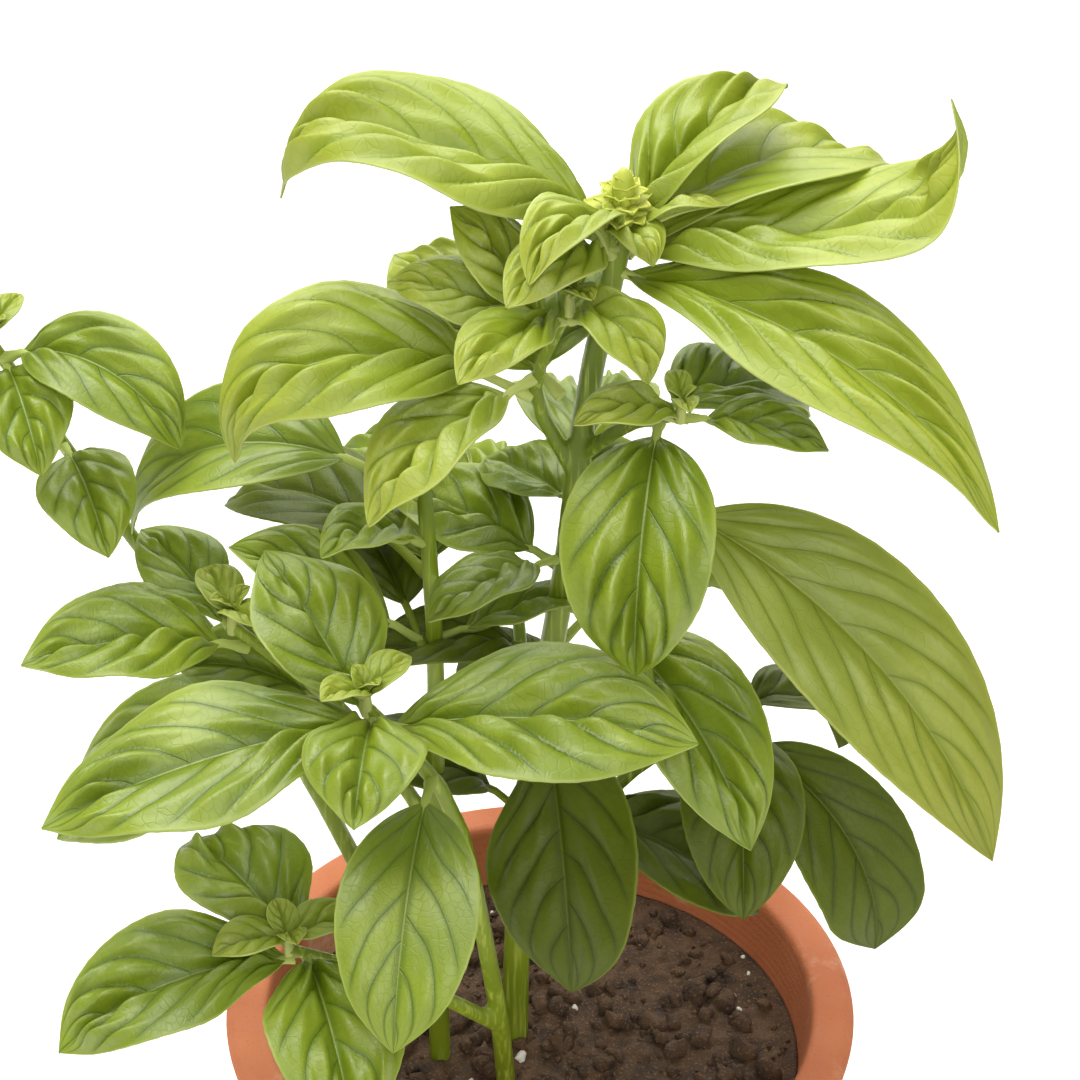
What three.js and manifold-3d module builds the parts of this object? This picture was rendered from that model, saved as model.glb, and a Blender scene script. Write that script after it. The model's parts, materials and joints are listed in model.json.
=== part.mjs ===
// A sweet basil plant in a plain terracotta pot.
//
// Millimetres, +Z up. The origin is the middle of the pot's underside, and -Y is the plant's front.
// The plant has four stems that rise from the soil. Leaves stand on the stems by their own stalks,
// each shoot ends in a pair of young leaves, and the main stem ends in a head of flower buds.

import * as THREE from "three";
import { mergeVertices } from "three/addons/utils/BufferGeometryUtils.js";
import Module from "manifold-3d";

const wasm = await Module();
wasm.setup();

// ---------------------------------------------------------------- driving dimensions

const POT = { height: 125, rimRadius: 75, bandHeight: 28, bandProud: 4, footRadius: 50, wall: 6 };
const DRAIN = { holes: 3, radius: 5, fromMiddle: 24 }; // holes through the pot's floor
const POT_SIDES = 40;
const HEADSPACE = 13; // from the rim down to the soil
const GAP = 0.3; // left between pieces that touch
const ROOT_DEPTH = 20; // how far a stem runs on below the soil's surface

const AROUND = 8; // corners of every stem's and leaf's section
const CORNER_PROUD = 1.08; // a stem's section is nearly square: its four corners stand out by this share
const SIDE_FLAT = 0.94; // and the middles of its four sides lie in
const STALK_RADIUS = 1.1;
const STALK_GROOVE = 0.3; // a stalk's upper side is a channel: its middle lies this share of the radius out
const LEAF_STATIONS = [0, 0.11, 0.3, 0.5, 0.7, 0.87, 1]; // along the blade, from the stalk to the tip
const LEAF_THICKNESS = 0.9;
const LEAF_BASE = 0.75; // how slowly a blade widens from its base
const YOUNG_POINT = 0.8; // young leaves have short tips
const TIP_HALF_WIDTH = 0.35;
const MIDRIB_STEPS = 24;

const SOIL_TOP = POT.height - HEADSPACE;

// ---------------------------------------------------------------- colours

const material = (color, roughness) => new THREE.MeshStandardMaterial({ color, roughness, metalness: 0 });
const TERRACOTTA = material(0xb5673f, 0.9);
const EARTH = material(0x3a2a1e, 1.0);
const STEM_GREEN = material(0x7d9130, 0.55);
const YOUNG_GREEN = material(0xaecb55, 0.4);
const LEAF_GREEN = material(0x7fa32f, 0.42);
const SHADE_GREEN = material(0x4f6d17, 0.45);
const OLD_GREEN = material(0x93a04a, 0.5);
const BUD_GREEN = material(0xc9d365, 0.6);

// ---------------------------------------------------------------- solids

// A geometry's position alone, with shared corners merged, as the boolean library needs it.
function bare(geometry) {
  const copy = geometry.clone();
  copy.deleteAttribute("normal");
  copy.deleteAttribute("uv");
  return mergeVertices(copy, 1e-4);
}

function solidOf(geometry) {
  const merged = bare(geometry);
  return new wasm.Manifold(
    new wasm.Mesh({
      numProp: 3,
      vertProperties: new Float32Array(merged.attributes.position.array),
      triVerts: new Uint32Array(merged.index.array),
    }),
  );
}

function geometryOf(solid) {
  const mesh = solid.getMesh();
  const geometry = new THREE.BufferGeometry();
  geometry.setAttribute("position", new THREE.BufferAttribute(new Float32Array(mesh.vertProperties), 3));
  geometry.setIndex(new THREE.BufferAttribute(new Uint32Array(mesh.triVerts), 1));
  return geometry;
}

// One closed body from several that run into each other.
function joined(geometries) {
  return geometryOf(geometries.map(solidOf).reduce((all, next) => all.add(next)));
}

// A tube with closed ends whose every ring is put in place by a function of the ring's number and
// of the point's place across (-1 left to 1 right) and up (-1 under to 1 upper) in the ring.
function tube(rings, place) {
  const geometry = bare(new THREE.CylinderGeometry(1, 1, 1, AROUND, rings - 1));
  const position = geometry.attributes.position;
  for (let i = 0; i < position.count; i += 1) {
    const ring = Math.round((position.getY(i) + 0.5) * (rings - 1));
    const point = place(ring, position.getX(i), position.getZ(i));
    position.setXYZ(i, point.x, point.y, point.z);
  }
  return geometry;
}

// A solid of revolution about Z, from [radius, height] points.
function turned(profile, sides) {
  const points = profile.map(([radius, height]) => new THREE.Vector2(radius, height));
  return new THREE.LatheGeometry(points, sides).rotateX(Math.PI / 2);
}

const radians = THREE.MathUtils.degToRad;

// ---------------------------------------------------------------- pot and soil

// Radius of the pot's inner wall at a height.
function innerRadius(z) {
  const top = POT.rimRadius - POT.bandProud;
  return THREE.MathUtils.lerp(POT.footRadius, top, z / POT.height) - POT.wall;
}

// Walls that widen upwards, a thicker band below the rim, and drain holes round the middle of the floor.
function potGeometry() {
  const bandFoot = POT.height - POT.bandHeight;
  const bodyTop = innerRadius(bandFoot) + POT.wall;
  const body = turned(
    [
      [0, 0],
      [POT.footRadius, 0],
      [bodyTop, bandFoot],
      [bodyTop + POT.bandProud, bandFoot + 2],
      [POT.rimRadius, POT.height - 2],
      [POT.rimRadius - 2, POT.height],
      [innerRadius(POT.height) + 1, POT.height],
      [innerRadius(POT.height - 1), POT.height - 1],
      [innerRadius(POT.wall), POT.wall],
      [0, POT.wall],
    ],
    POT_SIDES,
  );
  let pot = solidOf(body);
  for (let i = 0; i < DRAIN.holes; i += 1) {
    const drill = new THREE.CylinderGeometry(DRAIN.radius, DRAIN.radius, 3 * POT.wall, 16);
    drill.rotateX(Math.PI / 2).translate(0, DRAIN.fromMiddle, 0).rotateZ((i * 2 * Math.PI) / DRAIN.holes);
    pot = pot.subtract(solidOf(drill));
  }
  return geometryOf(pot);
}

// Potting soil that fills the pot, a little heaped round the stems, with a hole where each stem enters.
function soilGeometry(stemSolids) {
  const floor = POT.wall + GAP;
  const heap = 3;
  const body = turned(
    [
      [0, floor],
      [innerRadius(floor) - GAP, floor],
      [innerRadius(SOIL_TOP - heap) - GAP, SOIL_TOP - heap],
      [innerRadius(SOIL_TOP) * 0.6, SOIL_TOP - 1],
      [0, SOIL_TOP],
    ],
    POT_SIDES,
  );
  return geometryOf(stemSolids.map(solidOf).reduce((soil, hole) => soil.subtract(hole), solidOf(body)));
}

// ---------------------------------------------------------------- stems

// A stem's centreline through hand-placed points, from below the soil to its tip.
function route(...points) {
  return new THREE.CatmullRomCurve3(points.map(([x, y, z]) => new THREE.Vector3(x, y, z)));
}

const ROUTES = {
  main: route(
    [-6, 2, SOIL_TOP - ROOT_DEPTH],
    [-6, 2, 120],
    [-3, 1, 185],
    [6, 0, 255],
    [10, 0, 296],
    [17, 0, 336],
  ),
  left: route(
    [-24, -4, SOIL_TOP - ROOT_DEPTH],
    [-24, -4, 120],
    [-24, -6, 180],
    [-23, -8, 235],
    [-25, -9, 286],
  ),
  front: route(
    [-8, -22, SOIL_TOP - ROOT_DEPTH],
    [-8, -22, 120],
    [-12, -33, 170],
    [-20, -41, 220],
    [-36, -47, 249],
  ),
  far: route(
    [-34, 16, SOIL_TOP - ROOT_DEPTH],
    [-34, 16, 120],
    [-60, 20, 190],
    [-95, 22, 250],
    [-118, 20, 296],
  ),
  crownShoot: route([7, 0, 277], [-1, -6, 301], [6, -15, 327]),
  rightShoot: route([9, 0, 281], [19, -11, 296], [29, -20, 304]),
  lowRightShoot: route([-4, 1, 158], [20, 4, 190], [46, 2, 212]),
  backShoot: route([-4, 1, 165], [-4, 26, 205], [-10, 46, 246]),
  lowFrontShoot: route([-10, -27, 142], [-30, -48, 174], [-54, -60, 194]),
  midLeftShoot: route([-24, -6, 182], [-42, -8, 216], [-67, -10, 243]),
};

// Radius at the foot and at the tip of each stem.
const THICKNESS = {
  main: [3.6, 2.7],
  left: [2.9, 1.9],
  front: [2.7, 1.7],
  far: [2.6, 1.6],
  crownShoot: [1.9, 1.4],
  rightShoot: [1.9, 1.4],
  lowRightShoot: [2.0, 1.5],
  backShoot: [2.1, 1.5],
  lowFrontShoot: [2.0, 1.5],
  midLeftShoot: [2.0, 1.5],
};

const PIECE_STEMS = {
  main_stem: ["main", "crownShoot", "rightShoot", "lowRightShoot", "backShoot"],
  left_stem: ["left", "midLeftShoot"],
  front_stem: ["front", "lowFrontShoot"],
  far_left_stem: ["far"],
};

function stemRadius(name, share) {
  const [foot, tip] = THICKNESS[name];
  return THREE.MathUtils.lerp(foot, tip, share);
}

// Basil stems are nearly square in section: the tube's diagonal corners stand out.
function stemGeometry(name, extraRadius = 0) {
  const curve = ROUTES[name];
  const rings = Math.round(curve.getLength() / 20) + 4;
  return tube(rings, (ring, across, up) => {
    const share = ring / (rings - 1);
    const forward = curve.getTangentAt(share);
    const side = new THREE.Vector3(0, 1, 0).cross(forward).normalize();
    const outward = new THREE.Vector3().crossVectors(side, forward);
    const corner = Math.abs(across * up) < 0.1 ? SIDE_FLAT : CORNER_PROUD;
    const radius = (stemRadius(name, share) + extraRadius) * corner;
    return curve
      .getPointAt(share)
      .addScaledVector(side, across * radius)
      .addScaledVector(outward, up * radius);
  });
}

// The share of a stem's length at which it passes a height.
function shareAtHeight(name, height) {
  let low = 0;
  let high = 1;
  for (let step = 0; step < 30; step += 1) {
    const middle = (low + high) / 2;
    if (ROUTES[name].getPointAt(middle).z < height) low = middle;
    else high = middle;
  }
  return low;
}

// ---------------------------------------------------------------- leaves

// Basil's leaf outline: half width along the blade, as a share of the widest. The higher the point,
// the longer and narrower the tip.
function outline(along, point) {
  const peak = LEAF_BASE / (LEAF_BASE + point);
  const height = (x) => x ** LEAF_BASE * (1 - x) ** point;
  return height(along) / height(peak);
}

// The midrib's direction: it starts at turn and rise, and sinks by droop degrees towards its tip.
// hook bends its outer half further down.
function direction(leaf, share) {
  const elevation = leaf.rise - leaf.droop * share - leaf.hook * THREE.MathUtils.smoothstep(share, 0.55, 1);
  const level = Math.cos(radians(elevation));
  return new THREE.Vector3(
    level * Math.cos(radians(leaf.turn)),
    level * Math.sin(radians(leaf.turn)),
    Math.sin(radians(elevation)),
  );
}

// A point of the midrib, with the blade's right and upper directions there.
function midribFrame(leaf, start, distance) {
  const total = leaf.stalk + leaf.long;
  const step = distance / MIDRIB_STEPS;
  const point = start.clone();
  for (let i = 0; i < MIDRIB_STEPS; i += 1) {
    point.addScaledVector(direction(leaf, ((i + 0.5) * step) / total), step);
  }
  const forward = direction(leaf, distance / total);
  const right = new THREE.Vector3(Math.sin(radians(leaf.turn)), -Math.cos(radians(leaf.turn)), 0);
  const upper = new THREE.Vector3().crossVectors(right, forward);
  const roll = radians(-leaf.roll);
  return {
    point,
    right: right.clone().multiplyScalar(Math.cos(roll)).addScaledVector(upper, Math.sin(roll)),
    upper: upper.clone().multiplyScalar(Math.cos(roll)).addScaledVector(right, -Math.sin(roll)),
  };
}

// A point of a blade's section, whose halves fold up along the midrib.
function bladePoint(frame, leaf, halfWidth, across, up) {
  const fold = radians(leaf.fold);
  const out = across * halfWidth;
  const lift = Math.abs(out) * Math.sin(fold);
  return frame.point
    .clone()
    .addScaledVector(frame.right, out * Math.cos(fold))
    .addScaledVector(frame.upper, lift + (up * LEAF_THICKNESS) / 2);
}

// One leaf: a channelled stalk that stands off its stem, then a folded, drooping, pointed blade.
function leafGeometry(leaf) {
  const share = shareAtHeight(leaf.stem, leaf.height);
  const outward = new THREE.Vector3(Math.cos(radians(leaf.turn)), Math.sin(radians(leaf.turn)), 0);
  const slant = ROUTES[leaf.stem].getTangentAt(share).cross(outward).length();
  const tilt = Math.max(Math.abs(Math.sin(radians(leaf.rise))), Math.sqrt(1 - slant * slant));
  const gap = stemRadius(leaf.stem, share) * CORNER_PROUD + GAP + STALK_RADIUS * tilt;
  const clear = gap / Math.max(slant, 0.5);
  const start = ROUTES[leaf.stem].getPointAt(share).addScaledVector(outward, clear);
  return tube(LEAF_STATIONS.length + 1, (ring, across, up) => {
    const along = ring === 0 ? 0 : LEAF_STATIONS[ring - 1];
    const frame = midribFrame(leaf, start, ring === 0 ? 0 : leaf.stalk + along * leaf.long);
    if (ring < 2) {
      const depth = up > 0.99 ? STALK_GROOVE : up;
      return frame.point
        .addScaledVector(frame.right, across * STALK_RADIUS)
        .addScaledVector(frame.upper, depth * STALK_RADIUS);
    }
    const halfWidth = Math.max((leaf.wide / 2) * outline(along, leaf.point), TIP_HALF_WIDTH);
    return bladePoint(frame, leaf, halfWidth, across, up);
  });
}

// Two opposite young leaves that still join at the shoot's bud, as one body from tip to tip.
function youngPairGeometry(pair) {
  const [budHalfWidth, budHalfHeight] = [1.6, 1.4];
  const bud = ROUTES[pair.stem].getPointAt(1);
  bud.z += stemRadius(pair.stem, 1) + GAP + budHalfHeight;
  const half = LEAF_STATIONS.length - 1;
  return tube(2 * half + 1, (ring, across, up) => {
    const far = Math.abs(ring - half);
    const outwards = ring >= half;
    const leaf = { ...pair, stalk: 0, roll: 0, hook: 0, turn: pair.turn + (outwards ? 0 : 180) };
    const along = LEAF_STATIONS[far];
    const frame = midribFrame(leaf, bud, along * pair.long);
    if (!outwards) frame.right.negate();
    if (far === 0) {
      const level = new THREE.Vector3(Math.sin(radians(pair.turn)), -Math.cos(radians(pair.turn)), 0);
      return bud
        .clone()
        .addScaledVector(level, across * budHalfWidth)
        .add(new THREE.Vector3(0, 0, up * budHalfHeight));
    }
    const halfWidth = Math.max((pair.wide / 2) * outline(along, YOUNG_POINT), TIP_HALF_WIDTH);
    return bladePoint(frame, leaf, halfWidth, across, up);
  });
}

const SHAPE_DEFAULTS = { stalk: 8, roll: 0, fold: 12, hook: 0, point: 0.95 };

// name, stem, height on the stem, turn (0 is +X, 90 the back), rise and droop in degrees, and shape.
function leaf(name, stem, height, turn, rise, droop, shape) {
  return { name, stem, height, turn, rise, droop, ...SHAPE_DEFAULTS, ...shape };
}

const CROWN_LEAVES = [
  leaf("crown_left_leaf", "main", 334, 172, 40, 46, {
    long: 74, wide: 38, roll: -8, hook: 70, fold: 10, point: 1.1,
  }),
  leaf("crown_right_leaf", "main", 327, 330, 6, 50, {
    long: 90, wide: 31, roll: 15, hook: 15, fold: 12, point: 1.15,
  }),
  leaf("crown_back_leaf", "main", 334, 45, 50, 60, { stalk: 5, long: 46, wide: 30, roll: -10, fold: 25 }),
  leaf("crown_back_right_leaf", "main", 331, 34, 38, 85, {
    stalk: 6, long: 66, wide: 46, roll: -5, fold: 12,
  }),
  leaf("crown_twisted_leaf", "main", 332, 355, 4, -18, {
    stalk: 6, long: 83, wide: 34, roll: 6, hook: -95, point: 1.0,
  }),
  leaf("crown_curled_leaf", "main", 334, 236, 74, 125, {
    stalk: 3, long: 34, wide: 18, roll: 0, fold: 25,
  }),
];

const CROWN_SHOOT_LEAVES = [
  leaf("crown_shoot_right_leaf", "crownShoot", 325, 318, 44, 130, {
    stalk: 2, long: 24, wide: 18, fold: 15,
  }),
  leaf("crown_shoot_front_leaf", "crownShoot", 324, 230, 25, 50, {
    stalk: 4, long: 28, wide: 18, roll: -5,
  }),
  leaf("crown_shoot_left_leaf", "crownShoot", 317, 150, 72, 45, {
    stalk: 6, long: 27, wide: 17, roll: -20,
  }),
  leaf("upper_left_leaf", "crownShoot", 301, 191, 40, 80, {
    stalk: 12, long: 66, wide: 32, hook: 50, roll: -25, point: 1.05,
  }),
  leaf("upper_front_leaf", "crownShoot", 305, 220, -5, 35, { stalk: 6, long: 41, wide: 26, fold: 25 }),
];

const RIGHT_SHOOT_LEAVES = [
  leaf("right_shoot_hanging_leaf", "rightShoot", 301, 261, 0, 105, {
    stalk: 4, long: 56, wide: 32, fold: 8,
  }),
  leaf("right_shoot_right_leaf", "rightShoot", 303, 350, 8, 35, {
    stalk: 3, long: 26, wide: 15, roll: 10,
  }),
  leaf("right_shoot_back_leaf", "rightShoot", 299, 36, 16, 75, { stalk: 5, long: 42, wide: 28, roll: 5 }),
];

const MAIN_STEM_LEAVES = [
  leaf("right_large_leaf", "main", 278, 335, -6, 64, {
    stalk: 24, long: 104, wide: 38, roll: 28, fold: 6, finish: OLD_GREEN,
  }),
  leaf("middle_left_leaf", "main", 252, 152, 24, 30, { stalk: 5, long: 37, wide: 26, roll: -10 }),
  leaf("middle_front_leaf", "main", 255, 217, 12, 30, { stalk: 5, long: 29, wide: 22, roll: 10 }),
  leaf("low_right_leaf", "main", 243, 308, 15, 80, {
    stalk: 16, long: 58, wide: 31, roll: 5, finish: OLD_GREEN,
  }),
  leaf("shaded_front_leaf", "main", 212, 277, 5, 80, {
    stalk: 10, long: 58, wide: 39, roll: 38, fold: 6, finish: SHADE_GREEN, point: 0.75,
  }),
  leaf("shaded_right_leaf", "main", 182, 342, 14, 62, {
    stalk: 12, long: 45, wide: 34, finish: SHADE_GREEN, point: 0.75,
  }),
  leaf("back_high_leaf", "main", 266, 85, 20, 70, { stalk: 14, long: 58, wide: 34 }),
  leaf("back_middle_leaf", "main", 228, 55, 15, 60, { stalk: 14, long: 54, wide: 34 }),
];

const LOW_RIGHT_LEAVES = [
  leaf("low_right_front_leaf", "lowRightShoot", 210, 272, 10, 95, { stalk: 6, long: 46, wide: 28 }),
  leaf("low_right_outer_leaf", "lowRightShoot", 205, 323, 10, 105, {
    stalk: 10, long: 60, wide: 28, roll: 28, point: 0.6,
  }),
];

const LEFT_STEM_LEAVES = [
  leaf("left_long_leaf", "left", 277, 164, 32, 98, {
    stalk: 16, long: 66, wide: 28, roll: -25, hook: 15, point: 1.1,
  }),
  leaf("left_shaded_leaf", "left", 256, 139, 28, 76, { stalk: 10, long: 55, wide: 28, roll: -10 }),
  leaf("left_crumpled_leaf", "left", 266, 222, 42, 50, { stalk: 3, long: 25, wide: 20, fold: 25 }),
  leaf("left_inner_leaf", "left", 238, 192, 45, 15, { stalk: 9, long: 42, wide: 27, roll: -15 }),
  leaf("left_back_leaf", "left", 246, 95, 25, 70, { stalk: 12, long: 46, wide: 30 }),
  leaf("mid_left_upper_leaf", "midLeftShoot", 243, 132, 32, 30, {
    stalk: 3, long: 28, wide: 20, roll: -8,
  }),
  leaf("mid_left_outer_leaf", "midLeftShoot", 238, 198, 27, 40, {
    stalk: 5, long: 44, wide: 27, roll: -15,
  }),
  leaf("mid_left_lower_leaf", "midLeftShoot", 218, 165, 42, 70, {
    stalk: 6, long: 32, wide: 22, roll: -35,
  }),
];

const FRONT_STEM_LEAVES = [
  leaf("rosette_left_leaf", "front", 245, 193, 0, 26, {
    stalk: 4, long: 67, wide: 37, roll: -12, fold: 8,
  }),
  leaf("rosette_right_leaf", "front", 244, 348, 20, 30, {
    stalk: 5, long: 60, wide: 38, roll: 15, fold: 10,
  }),
  leaf("rosette_upper_leaf", "front", 248, 128, 38, 15, { stalk: 2, long: 38, wide: 30 }),
  leaf("rosette_lower_leaf", "front", 247, 265, 18, 54, { stalk: 2, long: 29, wide: 26 }),
  leaf("hanging_front_leaf", "front", 227, 262, 8, 80, {
    stalk: 7, long: 57, wide: 30, fold: 4, point: 0.8,
  }),
];

const LOW_FRONT_LEAVES = [
  leaf("low_rosette_back_leaf", "lowFrontShoot", 192, 128, 30, 50, { stalk: 3, long: 38, wide: 30 }),
  leaf("low_rosette_left_leaf", "lowFrontShoot", 191, 197, 12, 55, {
    stalk: 4, long: 50, wide: 31, roll: -15,
  }),
  leaf("low_rosette_front_leaf", "lowFrontShoot", 191, 286, 10, 60, { stalk: 3, long: 43, wide: 30 }),
];

const FAR_LEFT_LEAVES = [
  leaf("far_left_inner_leaf", "far", 294, 333, 35, 100, { stalk: 4, long: 46, wide: 24, roll: 20 }),
  leaf("far_left_front_leaf", "far", 270, 292, 14, 60, { stalk: 4, long: 30, wide: 22, roll: 10 }),
  leaf("far_left_outer_leaf", "far", 292, 175, 30, 80, { stalk: 5, long: 46, wide: 26, roll: -10 }),
];

const BACK_SHOOT_LEAVES = [
  leaf("back_shoot_left_leaf", "backShoot", 243, 150, 10, 60, { stalk: 5, long: 50, wide: 30 }),
  leaf("back_shoot_right_leaf", "backShoot", 243, 20, 10, 60, { stalk: 5, long: 48, wide: 30 }),
  leaf("back_shoot_outer_leaf", "backShoot", 236, 85, 5, 60, { stalk: 5, long: 50, wide: 30 }),
];

const SMALL_PAIR = { fold: 20, rise: 45, droop: 50 };

const YOUNG_PAIRS = [
  { name: "crown_shoot_tip", stem: "crownShoot", turn: 120, long: 10, wide: 7, ...SMALL_PAIR },
  { name: "right_shoot_tip", stem: "rightShoot", turn: 100, long: 9, wide: 6, ...SMALL_PAIR },
  { name: "left_tip", stem: "left", turn: 120, long: 12, wide: 8, ...SMALL_PAIR },
  { name: "mid_left_tip", stem: "midLeftShoot", turn: 120, long: 14, wide: 11, ...SMALL_PAIR },
  { name: "rosette_tip", stem: "front", turn: 40, long: 13, wide: 10, ...SMALL_PAIR },
  {
    name: "low_rosette_tip", stem: "lowFrontShoot", turn: 20,
    long: 17, wide: 13, fold: 20, rise: 20, droop: 40,
  },
  { name: "far_left_tip", stem: "far", turn: 60, long: 12, wide: 8, ...SMALL_PAIR },
];

// ---------------------------------------------------------------- flower buds

// The head of closed flower buds on the main stem: whorls of small bracts, wide below and narrow above.
function flowerHeadGeometry() {
  const tip = ROUTES.main.getPointAt(1);
  const foot = tip.z + stemRadius("main", 1) + GAP;
  const whorls = [6, 5, 3.2];
  const whorlHeight = 3.6;
  const profile = [[0, 0]];
  whorls.forEach((radius, i) => {
    profile.push([radius * 0.7, i * whorlHeight]);
    profile.push([radius, (i + 0.5) * whorlHeight]);
  });
  profile.push([0, (whorls.length + 0.3) * whorlHeight]);
  return turned(profile, 12).translate(tip.x, tip.y, foot);
}

// ---------------------------------------------------------------- the plant, put together

const plant = new THREE.Group();

function add(name, geometry, finish) {
  const mesh = new THREE.Mesh(geometry, finish);
  mesh.name = name;
  plant.add(mesh);
}

add("pot", potGeometry(), TERRACOTTA);
add("soil", soilGeometry(["main", "left", "front", "far"].map((name) => stemGeometry(name, GAP))), EARTH);

for (const [name, parts] of Object.entries(PIECE_STEMS)) {
  add(name, joined(parts.map((part) => stemGeometry(part))), STEM_GREEN);
}

const LEAF_GROUPS = [
  [CROWN_LEAVES, YOUNG_GREEN],
  [CROWN_SHOOT_LEAVES, YOUNG_GREEN],
  [RIGHT_SHOOT_LEAVES, LEAF_GREEN],
  [MAIN_STEM_LEAVES, LEAF_GREEN],
  [LOW_RIGHT_LEAVES, SHADE_GREEN],
  [LEFT_STEM_LEAVES, LEAF_GREEN],
  [FRONT_STEM_LEAVES, LEAF_GREEN],
  [LOW_FRONT_LEAVES, LEAF_GREEN],
  [FAR_LEFT_LEAVES, LEAF_GREEN],
  [BACK_SHOOT_LEAVES, LEAF_GREEN],
];
for (const [leaves, finish] of LEAF_GROUPS) {
  for (const one of leaves) add(one.name, leafGeometry(one), one.finish ?? finish);
}
for (const pair of YOUNG_PAIRS) add(pair.name, youngPairGeometry(pair), YOUNG_GREEN);
add("flower_head", flowerHeadGeometry(), BUD_GREEN);

export default plant;
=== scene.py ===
# %% [markdown]
# # A sweet basil plant in a terracotta pot
#
# The plant is four green stems, some sixty leaves on their stalks, small young pairs at the ends of
# the shoots and a head of flower buds. It grows in soil, in a plain clay pot. The frame holds
# a plain solid for each of these, at its real place and size. Here each one gets its finished shape
# and its finish. Everything is in metres, in the frame's own space.

# %% Load the frame
import json
import math

import bmesh
import bpy
import numpy as np
from mathutils import Matrix, Vector, noise


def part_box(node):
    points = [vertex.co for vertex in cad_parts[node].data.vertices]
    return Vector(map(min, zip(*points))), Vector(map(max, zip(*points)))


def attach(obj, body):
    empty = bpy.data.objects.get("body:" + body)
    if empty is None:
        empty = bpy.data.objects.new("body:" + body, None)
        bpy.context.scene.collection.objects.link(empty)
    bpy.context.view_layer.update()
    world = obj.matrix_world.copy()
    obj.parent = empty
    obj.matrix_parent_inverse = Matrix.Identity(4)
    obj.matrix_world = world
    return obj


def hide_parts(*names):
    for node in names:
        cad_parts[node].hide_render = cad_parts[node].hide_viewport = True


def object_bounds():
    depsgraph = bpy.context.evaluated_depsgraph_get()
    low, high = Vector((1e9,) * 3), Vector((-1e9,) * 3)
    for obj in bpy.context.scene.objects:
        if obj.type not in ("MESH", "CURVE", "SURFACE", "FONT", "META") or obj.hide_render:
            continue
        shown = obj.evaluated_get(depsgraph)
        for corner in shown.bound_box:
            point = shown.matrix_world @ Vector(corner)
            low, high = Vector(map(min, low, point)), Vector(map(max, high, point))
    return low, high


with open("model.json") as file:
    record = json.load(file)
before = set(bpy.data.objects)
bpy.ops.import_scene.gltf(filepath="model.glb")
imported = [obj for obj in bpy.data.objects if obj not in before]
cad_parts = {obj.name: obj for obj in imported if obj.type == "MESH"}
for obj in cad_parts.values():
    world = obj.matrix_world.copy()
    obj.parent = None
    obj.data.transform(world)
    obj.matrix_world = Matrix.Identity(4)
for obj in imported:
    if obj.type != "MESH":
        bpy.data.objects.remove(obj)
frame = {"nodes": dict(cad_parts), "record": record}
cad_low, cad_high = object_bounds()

MM = 0.001
nodes = frame["nodes"]
slot_of = {part["node"]: part["material_slot"] for part in frame["record"]["subparts"]}
height = cad_high.z
print(f"{len(nodes)} solids, {height / MM:.0f} mm tall")

# %% [markdown]
# ## The camera, the floor and the light
#
# The plant is looked down on from the front at 35 degrees, so that the leaves show their upper sides,
# and the camera aims at the middle of the foliage. A long lens keeps the leaves' proportions. The
# light is a bright overcast sky: three very large lamps, the strongest overhead, one behind, which
# gives the leaves their sheen, and a weak one in front, all in a pale warm surrounding.

# %% The camera
VIEW_ELEVATION = math.radians(35)
VIEW_DISTANCE = 0.78
AIM = Vector((0, 0, 0.7 * height))
LENS = 119.6  # focal length and sensor width in mm
SENSOR = 36

toward_camera = Vector((0, -math.cos(VIEW_ELEVATION), math.sin(VIEW_ELEVATION)))
camera = bpy.data.objects.new("camera", bpy.data.cameras.new("camera"))
camera.data.lens = LENS
camera.data.sensor_width = SENSOR
camera.location = AIM + VIEW_DISTANCE * toward_camera
camera.rotation_euler = (-toward_camera).to_track_quat("-Z", "Y").to_euler()
bpy.context.collection.objects.link(camera)
bpy.context.scene.camera = camera
bpy.context.scene.view_settings.view_transform = "Standard"  # colours as they are, with no film curve
print("camera at", [round(value, 3) for value in camera.location])


# %% Small helpers for working by hand
def pick(*pieces):
    """Selects these pieces and nothing else, the last one active."""
    bpy.ops.object.select_all(action="DESELECT")
    for piece in pieces:
        piece.select_set(True)
    bpy.context.view_layer.objects.active = pieces[-1]


def finish_with(piece, kind, **settings):
    """Adds a modifier to a piece and applies it."""
    pick(piece)
    modifier = piece.modifiers.new(kind.lower(), kind)
    for name, value in settings.items():
        setattr(modifier, name, value)
    bpy.ops.object.modifier_apply(modifier=modifier.name)


def points_of(mesh):
    """A mesh's points as an array of rows x, y, z."""
    points = np.empty(3 * len(mesh.vertices))
    mesh.vertices.foreach_get("co", points)
    return points.reshape(-1, 3)


def set_points(mesh, points):
    """Moves a mesh's points to these places."""
    mesh.vertices.foreach_set("co", np.asarray(points, dtype=np.float32).ravel())
    mesh.update()


def copied(source, name):
    """A copy of a piece with its own mesh."""
    piece = source.copy()
    piece.data = source.data.copy()
    piece.name = piece.data.name = name
    bpy.context.collection.objects.link(piece)
    return piece


def smooth(piece):
    """Shades a piece smooth."""
    pick(piece)
    bpy.ops.object.shade_smooth()


def joined(name, *pieces):
    """These pieces as one smooth piece."""
    pick(*pieces)
    bpy.ops.object.join()
    whole = bpy.context.object
    whole.name = name
    smooth(whole)
    return whole


# %% The floor and the lamps
pick(camera)
bpy.ops.mesh.primitive_plane_add(size=6)
floor = bpy.context.object
floor.name = "floor"


def lamp(name, place, size, power):
    """A large soft square lamp that shines at the middle of the plant."""
    bpy.ops.object.light_add(type="AREA", location=place)
    light = bpy.context.object
    light.name = name
    light.data.size = size
    light.data.energy = power
    light.rotation_euler = (AIM - Vector(place)).to_track_quat("-Z", "Y").to_euler()


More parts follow.
